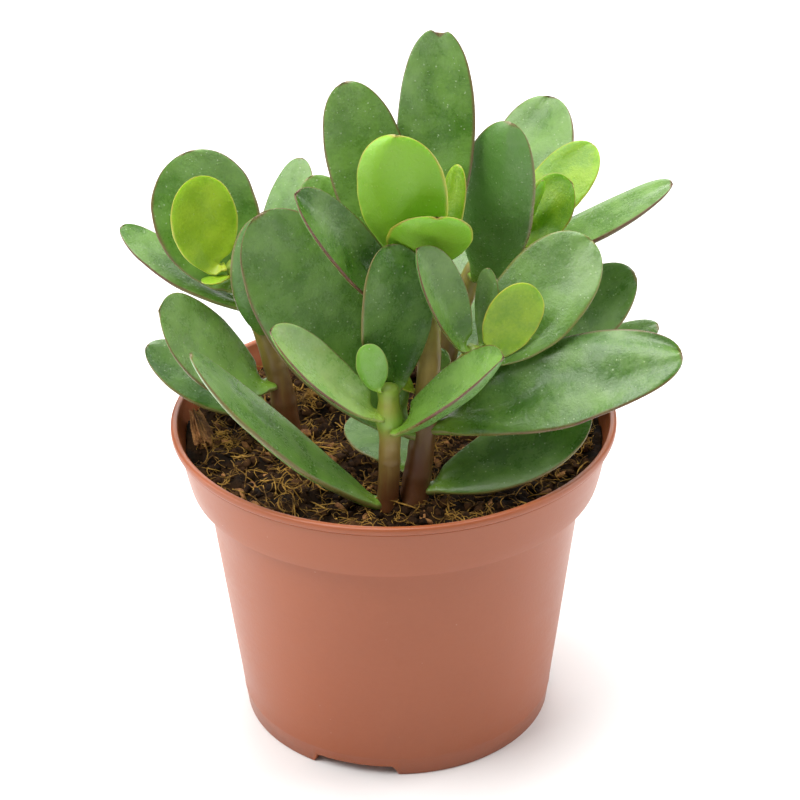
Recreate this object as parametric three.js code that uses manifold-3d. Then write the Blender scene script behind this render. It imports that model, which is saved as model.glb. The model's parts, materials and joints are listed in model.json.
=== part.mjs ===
// Potted jade plant: a plastic nursery pot, its coir soil, and four rooted cuttings
// with thick paired leaves. Millimetres, +Z up.
// The origin is the centre of the pot's foot, on the surface that the pot stands on.
// The front is -Y, and +X is on the right seen from the front.
import * as THREE from "three";
import { mergeVertices } from "three/addons/utils/BufferGeometryUtils.js";
import Module from "manifold-3d";

const wasm = await Module();
wasm.setup();

// ---------------------------------------------------------------- driving sizes
const GAP = 0.3; // between pieces that touch in the real plant
const POT = {
  rimRadius: 60,
  height: 88.6,
  lipHeight: 2.2,
  lipWidth: 2,
  lipOverhang: 1.5, // how far the lip stands out past the collar
  collarHeight: 17.3,
  collarFootRadius: 55.5,
  shoulderRadius: 51.3, // the body, just under the collar
  footRadius: 42.6,
  wall: 1.2,
  footWall: 1.8,
  floorUnderside: 3.2,
  sides: 48,
};
const FEET = { count: 3, notchAngle: 31, firstNotch: -106.5 }; // degrees
const DRAIN = { count: 6, radius: 4, ring: 30, sides: 12 };
const SOIL = { level: 82, bump: 1.1, edgeDrop: 1, edgeRadius: 50, ringStep: 10, sides: 36 };
const STEM = { sides: 10, rings: 9, buried: 14, rootShare: 0.8, capShare: 0.5 };
const LEAF = {
  baseShare: 0.23, // width where it leaves the stem, over the widest
  widestAt: 0.62,
  thicknessShare: 0.085,
  thinnest: 1.6,
  thickest: 4.4,
  neckShare: 0.14, // how far it keeps to the stem's side before it turns
  turnShare: 0.2, // how far it takes to turn its face
  bendAt: 0.62,
};

// ---------------------------------------------------------------- materials
const finish = (color, roughness) =>
  new THREE.MeshStandardMaterial({ color, roughness, metalness: 0 });
const FINISHES = {
  pot: finish(0xb4694d, 0.5),
  soil: finish(0x3a2616, 0.95),
  stem: finish(0x8f8246, 0.55),
  mature: finish(0x3f7a32, 0.35),
  young: finish(0x7fb52c, 0.4),
};

// ---------------------------------------------------------------- helpers
const V = (x, y, z) => new THREE.Vector3(x, y, z);
const degrees = THREE.MathUtils.degToRad;
const { lerp, smoothstep, clamp } = THREE.MathUtils;

// A closed skin through rings of equally many points, with a point closing each end.
function loft(rings, start, end) {
  const sides = rings[0].length;
  const points = [start, ...rings.flat(), end];
  const last = points.length - 1;
  const index = [];
  const at = (ring, side) => 1 + ring * sides + (side % sides);
  for (let side = 0; side < sides; side++) {
    index.push(0, at(0, side + 1), at(0, side));
    index.push(last, at(rings.length - 1, side), at(rings.length - 1, side + 1));
    for (let ring = 0; ring < rings.length - 1; ring++) {
      index.push(at(ring, side), at(ring, side + 1), at(ring + 1, side));
      index.push(at(ring, side + 1), at(ring + 1, side + 1), at(ring + 1, side));
    }
  }
  return new THREE.BufferGeometry().setFromPoints(points).setIndex(index);
}

// A three.js geometry as a manifold-3d solid, and back.
function toSolid(geometry) {
  const bare = geometry.clone();
  bare.deleteAttribute("normal");
  bare.deleteAttribute("uv");
  const merged = mergeVertices(bare, 1e-3);
  return new wasm.Manifold(
    new wasm.Mesh({
      numProp: 3,
      vertProperties: merged.attributes.position.array,
      triVerts: new Uint32Array(merged.index.array),
    }),
  );
}

function toGeometry(solid) {
  const mesh = solid.getMesh();
  return new THREE.BufferGeometry()
    .setAttribute("position", new THREE.BufferAttribute(mesh.vertProperties, 3))
    .setIndex(new THREE.BufferAttribute(mesh.triVerts, 1));
}

function piece(name, geometry, material) {
  const mesh = new THREE.Mesh(geometry, material);
  mesh.name = name;
  return mesh;
}

// A closed profile of [radius, height] pairs, turned about the Z axis.
function turned(profile, sides) {
  const outline = profile.map(([radius, height]) => new THREE.Vector2(radius, height));
  return new THREE.LatheGeometry(outline, sides).rotateX(Math.PI / 2);
}

// ---------------------------------------------------------------- pot
const collarFoot = POT.height - POT.collarHeight;
const floorTop = POT.floorUnderside + POT.wall;
const bodyRadius = (z) => lerp(POT.footRadius, POT.shoulderRadius, z / collarFoot);

function potGeometry() {
  const lipFoot = POT.height - POT.lipHeight;
  const collarTop = POT.rimRadius - POT.lipOverhang;
  const footInner = POT.footRadius - POT.footWall;
  const profile = [
    [0, POT.floorUnderside],
    [footInner, POT.floorUnderside],
    [footInner, 0],
    [POT.footRadius, 0],
    [POT.shoulderRadius, collarFoot],
    [POT.collarFootRadius, collarFoot + 0.3],
    [collarTop, lipFoot - 0.4],
    [POT.rimRadius - 0.2, lipFoot],
    [POT.rimRadius, lipFoot + 0.5],
    [POT.rimRadius, POT.height - 0.5],
    [POT.rimRadius - 0.5, POT.height],
    [POT.rimRadius - POT.lipWidth, POT.height],
    [collarTop - POT.wall, lipFoot],
    [POT.collarFootRadius - POT.wall, collarFoot + POT.wall + 0.3],
    [POT.shoulderRadius - POT.wall, collarFoot + POT.wall - 0.3],
    [bodyRadius(floorTop) - POT.wall, floorTop],
    [0, floorTop],
  ];
  let pot = toSolid(turned(profile, POT.sides));
  const notch = degrees(FEET.notchAngle);
  for (let foot = 0; foot < FEET.count; foot++) {
    const middle = degrees(FEET.firstNotch + (foot * 360) / FEET.count);
    const sector = new THREE.Shape();
    sector.absarc(0, 0, POT.footRadius + 2, middle - notch / 2, middle + notch / 2, false);
    sector.absarc(0, 0, footInner - 3, middle + notch / 2, middle - notch / 2, true);
    const cutter = new THREE.ExtrudeGeometry(sector, {
      depth: POT.floorUnderside + 1,
      bevelEnabled: false,
      curveSegments: 6,
    });
    pot = pot.subtract(toSolid(cutter.translate(0, 0, -1.2)));
  }
  for (let hole = 0; hole < DRAIN.count; hole++) {
    const angle = (hole * 2 * Math.PI) / DRAIN.count;
    const drill = new THREE.CylinderGeometry(DRAIN.radius, DRAIN.radius, 4, DRAIN.sides)
      .rotateX(Math.PI / 2)
      .translate(DRAIN.ring * Math.cos(angle), DRAIN.ring * Math.sin(angle), floorTop - 0.6);
    pot = pot.subtract(toSolid(drill));
  }
  return toGeometry(pot);
}

// ---------------------------------------------------------------- stems
// A stem follows a smooth curve through its points and tapers from one radius to the other.
// It is rooted STEM.buried below its first point unless it is a branch.
class Stem {
  constructor(name, points, radii, branch = false) {
    this.name = name;
    this.radii = radii;
    const path = points.map((p) => V(...p));
    this.curve = new THREE.CatmullRomCurve3(path, false, "centripetal");
    this.buried = branch ? 0 : STEM.buried;
  }

  // The centre of the stem at a share of its length above the soil.
  centre(share) {
    return this.curve.getPointAt(clamp(share, 0, 1));
  }

  direction(share) {
    return this.curve.getTangentAt(clamp(share, 0, 1));
  }

  radius(share) {
    return lerp(this.radii[0], this.radii[1], clamp(share, 0, 1));
  }

  geometry(extra = 0) {
    const stations = [];
    if (this.buried) {
      const up = this.direction(0);
      const root = this.centre(0).addScaledVector(up, -this.buried);
      stations.push({ centre: root, along: up, radius: this.radii[0] * STEM.rootShare });
    }
    for (let ring = 0; ring < STEM.rings; ring++) {
      const share = ring / (STEM.rings - 1);
      stations.push({
        centre: this.centre(share),
        along: this.direction(share),
        radius: this.radius(share),
      });
    }
    const rings = stations.map(({ centre, along, radius }) => {
      const across = V(0, 1, 0).cross(along).normalize();
      const third = along.clone().cross(across);
      return Array.from({ length: STEM.sides }, (_, side) => {
        const angle = (side * 2 * Math.PI) / STEM.sides;
        return centre
          .clone()
          .addScaledVector(across, Math.cos(angle) * (radius + extra))
          .addScaledVector(third, Math.sin(angle) * (radius + extra));
      });
    });
    const first = stations[0];
    const top = stations[stations.length - 1];
    return loft(
      rings,
      first.centre.clone().addScaledVector(first.along, -extra),
      top.centre.clone().addScaledVector(top.along, top.radius * STEM.capShare + extra),
    );
  }
}

const STEMS = {
  front: new Stem("stem_front", [[-2, -38.6, 82], [-1, -38.4, 102], [-1.3, -38, 117]], [2.9, 2.7]),
  main: new Stem(
    "stem_main",
    [[4.7, -36, 82], [8.6, -30, 109], [9.2, -22, 131], [7, -17, 142]],
    [3.8, 2.5],
  ),
  side: new Stem(
    "stem_side",
    [[9, -30.3, 104], [14.4, -31.4, 114], [21, -32, 124]],
    [2.7, 2.5],
    true,
  ),
  back: new Stem(
    "stem_back",
    [[8.6, 8, 82], [13, 9, 97], [21.5, 13, 123], [31, 14, 137]],
    [3.8, 2.4],
  ),
  left: new Stem(
    "stem_left",
    [[-28.6, 0.6, 82], [-30, 1, 96], [-36, 3, 118], [-42, 4, 132]],
    [3.8, 2.2],
  ),
};

// ---------------------------------------------------------------- leaves
// Half of a leaf's width over the widest half, from the stem (0) to the tip (1).
function outline(s) {
  const { baseShare, widestAt } = LEAF;
  if (s < widestAt) {
    return lerp(baseShare, 1, Math.sin(((s / widestAt) * Math.PI) / 2) ** 1.6);
  }
  return Math.sqrt(Math.max(0, 1 - ((s - widestAt) / (1 - widestAt)) ** 2.3));
}

const LEAF_STATIONS = [0, 0.07, 0.2, 0.38, 0.56, 0.73, 0.86, 0.95, 0.99];
// One section of a leaf, round from one margin over the upper face to the other and back
// under: place across, -1 to 1, and height, 1 on the upper face and -1 on the lower.
const LEAF_SECTION = [
  [1, 0],
  [0.6, 1],
  [0, 1.15],
  [-0.6, 1],
  [-1, 0],
  [-0.6, -1],
  [0, -1.25],
  [0.6, -1],
];

// A leaf grows from its stem at share `at` of the stem's length, towards `azimuth` (0 is +X,
// 90 is +Y) and upwards by `rise` degrees. `roll` turns its face about its own length,
// `arch` bends its middle towards (+) or away from (-) its upper face, and `cup` lifts its margins.
function leafGeometry(leaf) {
  const { stem, at, azimuth, rise, length, width } = leaf;
  const { roll = 0, arch = -0.08, cup = 0.12 } = leaf;
  const thickness =
    leaf.thickness ?? clamp(length * LEAF.thicknessShare, LEAF.thinnest, LEAF.thickest);
  const a = degrees(azimuth);
  const r = degrees(rise);
  const chord = V(Math.cos(r) * Math.cos(a), Math.cos(r) * Math.sin(a), Math.sin(r));
  const level = V(-Math.sin(a), Math.cos(a), 0);
  const upper = chord.clone().cross(level);
  const across = level.applyAxisAngle(chord, degrees(roll));
  upper.applyAxisAngle(chord, degrees(roll));

  const along = stem.direction(at);
  const outward = V(Math.cos(a), Math.sin(a), 0);
  outward.addScaledVector(along, -outward.dot(along)).normalize();
  const base = stem.centre(at).addScaledVector(outward, stem.radius(at) + GAP);
  const tip = base.clone().addScaledVector(chord, length);
  const neck = outward.clone().addScaledVector(along, 0.55).normalize();
  const midline = new THREE.CubicBezierCurve3(
    base,
    base.clone().addScaledVector(neck, length * LEAF.neckShare),
    base.clone().addScaledVector(chord, length * LEAF.bendAt).addScaledVector(upper, arch * length),
    tip,
  );

  const rings = LEAF_STATIONS.map((s) => {
    const centre = midline.getPoint(s);
    const turn = smoothstep(s, 0, LEAF.turnShare);
    const forward = outward.clone().lerp(midline.getTangent(s), turn).normalize();
    const side = across.clone().lerp(V(-Math.sin(a), Math.cos(a), 0), 1 - turn);
    side.addScaledVector(forward, -side.dot(forward)).normalize();
    const face = forward.clone().cross(side);
    const half = (width / 2) * outline(s);
    const depth = (thickness / 2) * (0.8 + 0.2 * Math.sin(Math.PI * s)) * Math.sqrt(1 - s ** 5);
    return LEAF_SECTION.map(([place, height]) =>
      centre
        .clone()
        .addScaledVector(side, place * half)
        .addScaledVector(face, height * depth * 0.8 + cup * half * place ** 2 * turn),
    );
  });
  return loft(rings, base, tip);
}

const LEAVES = [];
function shoot(stem, material, leaves) {
  for (const [name, at, azimuth, rise, length, width, more = {}] of leaves) {
    LEAVES.push({ name, stem, at, azimuth, rise, length, width, material, ...more });
  }
}

shoot(STEMS.front, FINISHES.mature, [
  ["leaf_front_upright", 0.91, 83, 86, 40, 20.6, { roll: 38, arch: 0.13 }],
  ["leaf_front_left", 0.78, 192, 46, 38, 15, { roll: -28, cup: 0.3, material: FINISHES.young }],
  ["leaf_front_right", 0.68, -25, 43, 38, 18, { roll: 20, cup: 0.25 }],
  ["leaf_front_bud", 1, 220, 78, 14.5, 8, { roll: 44, material: FINISHES.young }],
  ["leaf_front_foot", 0.05, 188, 46, 65, 18.5, { roll: -8 }],
]);
shoot(STEMS.main, FINISHES.mature, [
  ["leaf_main_low_right", 0.33, -4, 20, 65, 24, { roll: 38, arch: 0.08 }],
  ["leaf_main_low_left", 0.3, 170, 57, 69, 30, { roll: -60, arch: -0.1 }],
  ["leaf_main_foot_right", 0.07, 1, 27, 46, 19.8, { roll: 30, arch: -0.11 }],
  ["leaf_main_foot_left", 0.12, 120, 10, 26, 18],
  ["leaf_main_round", 0.46, 74, 45, 12, 8],
  ["leaf_main_pale", 0.47, 179, 48, 8, 6.5, { roll: -15, material: FINISHES.young }],
  ["leaf_main_striped", 0.76, 203, 52, 52, 16, { roll: -50, arch: -0.06, cup: 0.3 }],
  ["leaf_main_crown", 0.98, 72, 76, 60, 21.3, { roll: -6 }],
  ["leaf_main_crown_left", 0.96, 141, 65, 51, 20.7, { roll: -40 }],
  ["leaf_main_bright", 1.00, 243, 78, 38, 23.7, { roll: 9, material: FINISHES.young }],
  ["leaf_main_bright_low", 0.95, -79, 53, 28, 21.3, { roll: -7, arch: -0.02, material: FINISHES.young }],
  ["leaf_main_bright_back", 0.97, 5, 75, 28, 8.9, { roll: 38, material: FINISHES.young }],
  ["leaf_main_hidden_left", 0.82, 92, 28, 30, 12.8, { roll: -11 }],
  ["leaf_main_pale_left", 0.65, 139, 45, 52, 18.5, { roll: -28 }],
]);
shoot(STEMS.side, FINISHES.mature, [
  ["leaf_side_folded", 0.95, 202, 67, 33.5, 13.5, { roll: -60, arch: -0.05, cup: 0.3 }],
  ["leaf_side_glossy", 0.87, 26, 39, 42, 23.4, { roll: 37, arch: -0.02 }],
  ["leaf_side_bright", 1, 5, 58, 22, 14, { roll: 88, arch: -0.10, material: FINISHES.young }],
  ["leaf_side_small", 1.00, 57, 80, 21, 6.8, { roll: 4 }],
]);
shoot(STEMS.back, FINISHES.mature, [
  ["leaf_back_front", 0.74, -69, 68, 56, 21, { roll: -47, arch: -0.14 }],
  ["leaf_back_bright_low", 0.97, -24, 48, 25, 15.9, { roll: 61, material: FINISHES.young }],
  ["leaf_back_bright", 1, 29, 37, 31, 15.8, { roll: 29, material: FINISHES.young }],
  ["leaf_back_bud", 1, -48, 60, 21, 5, { material: FINISHES.young }],
  ["leaf_back_far", 0.88, 60, 44, 45, 24],
  ["leaf_back_long", 0.85, -10, 28, 52, 17, { roll: 10 }],
  ["leaf_back_under", 0.83, 42, -4, 27, 11.5, { roll: -19 }],
  ["leaf_back_right", 0.23, -3, 33, 58, 27, { roll: 30, arch: -0.12 }],
  ["leaf_back_foot_right", 0.05, -2, 25, 64, 20, { roll: 12 }],
  ["leaf_back_low_left", 0.32, 165, 30, 38, 22, { roll: 15 }],
  ["leaf_back_low_far", 0.45, 95, 28, 42, 22],
  ["leaf_back_mid_left", 0.62, 145, 45, 34, 19],
  ["leaf_back_foot_far", 0.12, 70, 14, 42, 23],
]);
shoot(STEMS.left, FINISHES.mature, [
  ["leaf_left_round", 0.86, 140, 64, 38, 28.5, { roll: -30 }],
  ["leaf_left_bright", 1, 190, 76, 27, 18, { roll: -78, arch: -0.02, material: FINISHES.young }],
  ["leaf_left_bud", 0.95, 215, 5, 8, 5, { material: FINISHES.young }],
  ["leaf_left_long", 0.75, 158, 27, 39.5, 13.7, { roll: -6 }],
  ["leaf_left_upright", 0.62, 285, 80, 37, 18],
  ["leaf_left_low", 0.32, 210, 45, 42.5, 25, { roll: -42 }],
  ["leaf_left_foot", 0.1, 167, 28, 39, 20, { roll: -10 }],
  ["leaf_left_back", 0.7, 68, 48, 43, 15, { roll: -10, arch: -0.07 }],
]);

// ---------------------------------------------------------------- soil
const bumps = (x, y) =>
  Math.sin(x * 0.21 + 1.3) * Math.cos(y * 0.17 - 0.4) + 0.6 * Math.sin(x * 0.47 - y * 0.39);

function soilGeometry() {
  const step = collarFoot + POT.wall;
  const profile = [
    [0, floorTop + GAP],
    [bodyRadius(floorTop) - POT.wall - 2 * GAP, floorTop + GAP],
    [POT.shoulderRadius - POT.wall - GAP, step],
    [POT.collarFootRadius - POT.wall - 2 * GAP, step + 2 * GAP],
    [POT.collarFootRadius - POT.wall + 3 * GAP, SOIL.level - SOIL.edgeDrop],
  ];
  for (let radius = SOIL.edgeRadius; radius >= 0; radius -= SOIL.ringStep) {
    profile.push([radius, SOIL.level]);
  }
  const geometry = turned(profile, SOIL.sides);
  const position = geometry.attributes.position;
  for (let i = 0; i < position.count; i++) {
    if (position.getZ(i) < SOIL.level - 0.01) continue;
    const height = SOIL.bump * bumps(position.getX(i), position.getY(i));
    position.setZ(i, position.getZ(i) + height);
  }
  let soil = toSolid(geometry);
  for (const stem of Object.values(STEMS)) {
    if (stem.buried) soil = soil.subtract(toSolid(stem.geometry(GAP)));
  }
  return toGeometry(soil);
}

// ---------------------------------------------------------------- assembly
const potted = new THREE.Group();
potted.add(piece("pot", potGeometry(), FINISHES.pot));
potted.add(piece("soil", soilGeometry(), FINISHES.soil));

const plant = new THREE.Group();
// The side branch and the main stem are one growth.
const mainStem = toSolid(STEMS.main.geometry()).add(toSolid(STEMS.side.geometry()));
plant.add(piece("stem_main", toGeometry(mainStem), FINISHES.stem));
for (const stem of [STEMS.front, STEMS.back, STEMS.left]) {
  plant.add(piece(stem.name, stem.geometry(), FINISHES.stem));
}
for (const leaf of LEAVES) {
  plant.add(piece(leaf.name, leafGeometry(leaf), leaf.material));
}
potted.add(plant);

export default potted;
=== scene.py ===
"""Looks of a potted jade plant.

A plastic nursery pot, its bed of peat and coir, four rooted cuttings and their thick paired
leaves are built as classes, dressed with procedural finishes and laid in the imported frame.
All lengths in the file are millimetres until a mesh is made; the scene is in metres.
"""

import json
import logging
import math
import random
from collections.abc import Iterable, Sequence
from dataclasses import dataclass, field
from enum import Enum
from typing import ClassVar

import bmesh
import bpy
from mathutils import Matrix, Quaternion, Vector, noise

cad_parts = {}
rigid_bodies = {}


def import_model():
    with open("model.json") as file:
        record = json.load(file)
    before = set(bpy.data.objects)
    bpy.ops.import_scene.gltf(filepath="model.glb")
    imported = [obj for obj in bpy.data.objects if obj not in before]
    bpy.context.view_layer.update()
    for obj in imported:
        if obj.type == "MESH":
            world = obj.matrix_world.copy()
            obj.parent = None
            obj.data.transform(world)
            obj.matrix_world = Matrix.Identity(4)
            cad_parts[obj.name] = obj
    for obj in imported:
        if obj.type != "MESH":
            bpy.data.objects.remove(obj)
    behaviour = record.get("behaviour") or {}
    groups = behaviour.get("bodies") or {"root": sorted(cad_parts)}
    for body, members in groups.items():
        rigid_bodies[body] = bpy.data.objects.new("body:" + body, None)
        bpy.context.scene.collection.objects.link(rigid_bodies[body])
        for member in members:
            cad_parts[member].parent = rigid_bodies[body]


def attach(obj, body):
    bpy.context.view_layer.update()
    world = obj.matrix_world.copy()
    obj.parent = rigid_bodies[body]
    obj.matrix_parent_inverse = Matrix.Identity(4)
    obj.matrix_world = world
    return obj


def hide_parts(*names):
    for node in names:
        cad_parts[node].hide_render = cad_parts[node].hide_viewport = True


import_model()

LOG = logging.getLogger("jade_plant")
MM = 0.001
ROOT = "root"
Colour = tuple[float, float, float]
Triple = tuple[float, float, float]
Piece = bpy.types.Object
Mesh = bpy.types.Mesh
Material = bpy.types.Material
Socket = bpy.types.NodeSocket


# --------------------------------------------------------------------------- small helpers


def lerp(low: float, high: float, share: float) -> float:
    """Return the value at a share of the way from low to high."""
    return low + (high - low) * share


def clamp(value: float, low: float = 0.0, high: float = 1.0) -> float:
    """Return the value held between low and high."""
    return max(low, min(high, value))


def smoothstep(value: float, low: float, high: float) -> float:
    """Return 0 below low, 1 above high and a smooth ramp between them."""
    t = clamp((value - low) / (high - low))
    return t * t * (3 - 2 * t)


def signed_power(value: float, power: float) -> float:
    """Return a power of a value's size with the value's sign."""
    return math.copysign(abs(value) ** power, value)


def stored(name: str, made: bmesh.types.BMesh) -> Mesh:
    """Turn a working mesh into a stored mesh and free it."""
    mesh = bpy.data.meshes.new(name)
    made.to_mesh(mesh)
    made.free()
    return mesh


def new_object(name: str, mesh: Mesh) -> Piece:
    """Put a mesh in the scene as an object at the origin.

    Args:
        name: The object's name.
        mesh: Its mesh, already in place.

    Returns:
        The new object.
    """
    piece = bpy.data.objects.new(name, mesh)
    bpy.context.scene.collection.objects.link(piece)
    return piece


def skin_mesh(
    name: str, rings: Sequence[Sequence[Vector]], start: Vector, end: Vector
) -> Mesh:
    """Make a closed smooth skin through rings of equally many points.

    Args:
        name: The mesh's name.
        rings: Rings of points in millimetres, counterclockwise about the way they follow.
        start: The point that closes the first ring.
        end: The point that closes the last ring.

    Returns:
        The mesh, in metres. Its vertices are the rings in order, then start and end.
    """
    sides, count = len(rings[0]), len(rings)
    points = [*(point for ring in rings for point in ring), start, end]
    faces: list[tuple[int, ...]] = []
    turns = [(k, (k + 1) % sides) for k in range(sides)]
    for low in range(0, (count - 1) * sides, sides):
        high = low + sides
        faces += [(low + k, low + n, high + n, high + k) for k, n in turns]
    first, last, top = count * sides, count * sides + 1, (count - 1) * sides
    for k, n in turns:
        faces += [(first, n, k), (last, top + k, top + n)]
    mesh = bpy.data.meshes.new(name)
    mesh.from_pydata([point * MM for point in points], [], faces)
    mesh.validate()
    mesh.polygons.foreach_set("use_smooth", [True] * len(mesh.polygons))
    return mesh


def inside_out(mesh: Mesh) -> bool:
    """Return whether a closed skin's faces look inwards."""
    volume = 0.0
    for face in mesh.polygons:
        corners = [mesh.vertices[i].co for i in face.vertices]
        for i in range(1, len(corners) - 1):
            volume += corners[0].dot(corners[i].cross(corners[i + 1]))
    return volume < 0


def outside_out(mesh: Mesh) -> Mesh:
    """Turn a closed skin's faces outwards and return it."""
    if inside_out(mesh):
        mesh.flip_normals()
    return mesh


def add_values(mesh: Mesh, name: str, values: Sequence[float]) -> None:
    """Store one number per vertex on a mesh.

    Args:
        mesh: The mesh.
        name: The attribute that a material reads.
        values: A value for each vertex.
    """
    layer = mesh.attributes.new(name, "FLOAT", "POINT")
    layer.data.foreach_set("value", values)


def plain_copy(name: str, source: Piece) -> Piece:
    """Turn an object with live modifiers into a plain mesh object and drop the source.

    Args:
        name: The new object's name.
        source: The object whose evaluated mesh is kept.

    Returns:
        The new object, at the origin.
    """
    graph = bpy.context.evaluated_depsgraph_get()
    mesh = bpy.data.meshes.new_from_object(source.evaluated_get(graph))
    mesh.name = name
    for modifier in list(source.modifiers):
        source.modifiers.remove(modifier)
    bpy.data.objects.remove(source)
    return new_object(name, mesh)


def joined(
    name: str, piece: Piece, tool: Piece, operation: str
) -> Piece:
    """Fuse a tool with a piece, or cut it out, and drop both.

    Args:
        name: The new object's name.
        piece: The piece.
        tool: The other body.
        operation: UNION or DIFFERENCE.

    Returns:
        The new object.
    """
    change = piece.modifiers.new("change", "BOOLEAN")
    change.operation = operation
    change.solver = "EXACT"
    change.object = tool
    made = plain_copy(name, piece)
    bpy.data.objects.remove(tool)
    return made


def dress(piece: Piece, material: Material) -> None:
    """Give a piece a single material.

    Args:
        piece: The piece.
        material: The finish that it wears.
    """
    piece.data.materials.clear()
    piece.data.materials.append(material)


def settle(piece: Piece, slot: str, *nodes: str) -> Piece:
    """Tie a finished piece to the frame.

    Args:
        piece: The piece.
        slot: The record's material slot that it takes its finish from; not used.
        nodes: The CAD nodes that it stands for.

    Returns:
        The same piece.
    """
    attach(piece, ROOT)
    if nodes:
        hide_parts(*nodes)
    LOG.info("%s: %d faces", piece.name, len(piece.data.polygons))
    return piece


# --------------------------------------------------------------------------- shader building


class Shader:
    """A short way of laying out the nodes of a material or of a shader group."""

    def __init__(self, tree: bpy.types.NodeTree) -> None:
        """Start on an empty tree."""
        self.tree = tree
        tree.nodes.clear()

    def node(self, kind: str, settings: dict | None = None, **inputs: object) -> bpy.types.Node:
        """Add a node.

        Args:
            kind: The node's type without the ShaderNode prefix.
            settings: Properties of the node itself.
            inputs: What its inputs are fed.

        Returns:
            The node.
        """
        made = self.tree.nodes.new(f"ShaderNode{kind}")
        for key, value in (settings or {}).items():
            setattr(made, key, value)
        self.feed(made, **inputs)
        return made

    def feed(self, node: bpy.types.Node, **inputs: object) -> None:
        """Feed values or sockets to a node's inputs, with _ for a space in their names."""
        for key, value in inputs.items():
            self.put(node.inputs[key.replace("_", " ")], value)

    def put(self, socket: Socket, value: object) -> None:
        """Link a socket to another, or set its value.

        Args:
            socket: The input.
            value: An output socket, a number, or a colour of three numbers.
        """
        if isinstance(value, Socket):
            self.tree.links.new(value, socket)
        elif isinstance(value, tuple) and len(socket.default_value) == 4:
            socket.default_value = (*value, 1.0)
        else:
            socket.default_value = value

    def math(self, operation: str, *values: object, hold: bool = False) -> Socket:
        """Add a Math node.

        Args:
            operation: What it does.
            values: Its inputs in order.
            hold: Whether the result is held between 0 and 1.

        Returns:
            Its output.
        """
        made = self.tree.nodes.new("ShaderNodeMath")
        made.operation = operation
        made.use_clamp = hold
        for socket, value in zip(made.inputs, values):
            self.put(socket, value)
        return made.outputs[0]

    def ramp(self, value: object, low: object, high: float) -> Socket:
        """Return a smooth ramp of a value: 0 at low and 1 at high."""
        settings = {"interpolation_type": "SMOOTHSTEP", "clamp": True}
        made = self.node("MapRange", settings, Value=value, From_Min=low, From_Max=high)
        return made.outputs["Result"]

    def mix(self, share: object, first: object, second: object) -> Socket:
        """Return the colour at a share of the way from first to second."""
        made = self.node("Mix", {"data_type": "RGBA", "clamp_factor": True})
        self.put(made.inputs["Factor"], share)
        self.put(made.inputs[6], first)
        self.put(made.inputs[7], second)
        return made.outputs[2]

    def attribute(self, name: str) -> Socket:
        """Return a number that the mesh carries on its vertices."""
        made = self.node("Attribute", {"attribute_type": "GEOMETRY", "attribute_name": name})
        return made.outputs["Fac"]

    def group(self, tree: bpy.types.NodeTree, **inputs: object) -> Socket:
        """Add a shader group, feed its inputs and return its output."""
        made = self.tree.nodes.new("ShaderNodeGroup")
        made.node_tree = tree
        self.feed(made, **inputs)
        return made.outputs[0]

    def place(self) -> Socket:
        """Return the place on the object, in metres."""
        return self.node("TexCoord").outputs["Object"]

    def noise(
        self, place: Socket, scale: object, detail: float, **more: float
    ) -> Socket:
        """Return fractal noise.

        Args:
            place: Where it is read.
            scale: Its features per metre of place.
            detail: How many finer layers it has.
            more: What its other inputs are fed.

        Returns:
            A number about one half.
        """
        made = self.node("TexNoise", Vector=place, Scale=scale, Detail=detail, **more)
        return made.outputs["Fac"]

    def bump(self, height: object, strength: float, depth: float) -> Socket:
        """Return the normals of a surface that a height roughens to a depth in millimetres."""
        made = self.node("Bump", Height=height, Strength=strength, Distance=depth * MM)
        return made.outputs["Normal"]


def shader_group(
    name: str, inputs: dict[str, float], outputs: Sequence[str]
) -> tuple[Shader, bpy.types.Node, bpy.types.Node]:
    """Start a shader group of number sockets.

    Args:
        name: The group's name.
        inputs: Its inputs and their starting values.
        outputs: Its outputs.

    Returns:
        The layout, the node that gives the inputs and the node that takes the outputs.
    """
    tree = bpy.data.node_groups.new(name, "ShaderNodeTree")
    for key, value in inputs.items():
        socket = tree.interface.new_socket(key, in_out="INPUT", socket_type="NodeSocketFloat")
        socket.default_value = value
    for key in outputs:
        tree.interface.new_socket(key, in_out="OUTPUT", socket_type="NodeSocketFloat")
    layout = Shader(tree)
    source = tree.nodes.new("NodeGroupInput")
    sink = tree.nodes.new("NodeGroupOutput")
    return layout, source, sink


def mottle_group() -> bpy.types.NodeTree:
    """Make the shared mottling: soft blotches with finer grain inside them.

    Returns:
        A group with inputs Coarse and Fine, in features per metre, and an output Value.
    """
    s, given, out = shader_group("Mottle", {"Coarse": 100.0, "Fine": 900.0}, ["Value"])
    place = s.place()
    fine = s.noise(place, given.outputs["Fine"], 3.0)
    blend = s.math("MULTIPLY_ADD", fine, 0.35, -0.175)
    total = s.math("ADD", s.noise(place, given.outputs["Coarse"], 4.0), blend)
    s.feed(out, Value=s.ramp(total, 0.3, 0.72))
    return s.tree


def speckle_group() -> bpy.types.NodeTree:
    """Make the shared speckles: round dots of one size on some of the cells of a pattern.

    Returns:
        A group with inputs Cells, per metre, Size and Share, and an output Mask.
    """
    s, given, out = shader_group(
        "Speckle", {"Cells": 600.0, "Size": 0.15, "Share": 0.5}, ["Mask"]
    )
    cells = s.node("TexVoronoi", Vector=s.place(), Scale=given.outputs["Cells"])
    parts = s.node("SeparateColor", Color=cells.outputs["Color"])
    chosen = s.math("LESS_THAN", parts.outputs["Red"], given.outputs["Share"])
    size = s.math("MULTIPLY_ADD", parts.outputs["Green"], 0.6, 0.5)
    edge = s.math("DIVIDE", cells.outputs["Distance"], given.outputs["Size"])
    dot = s.math("SUBTRACT", size, edge, hold=True)
    soft = s.math("MULTIPLY", dot, 3.0, hold=True)
    s.feed(out, Mask=s.math("MULTIPLY", soft, chosen))
    return s.tree


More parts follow.
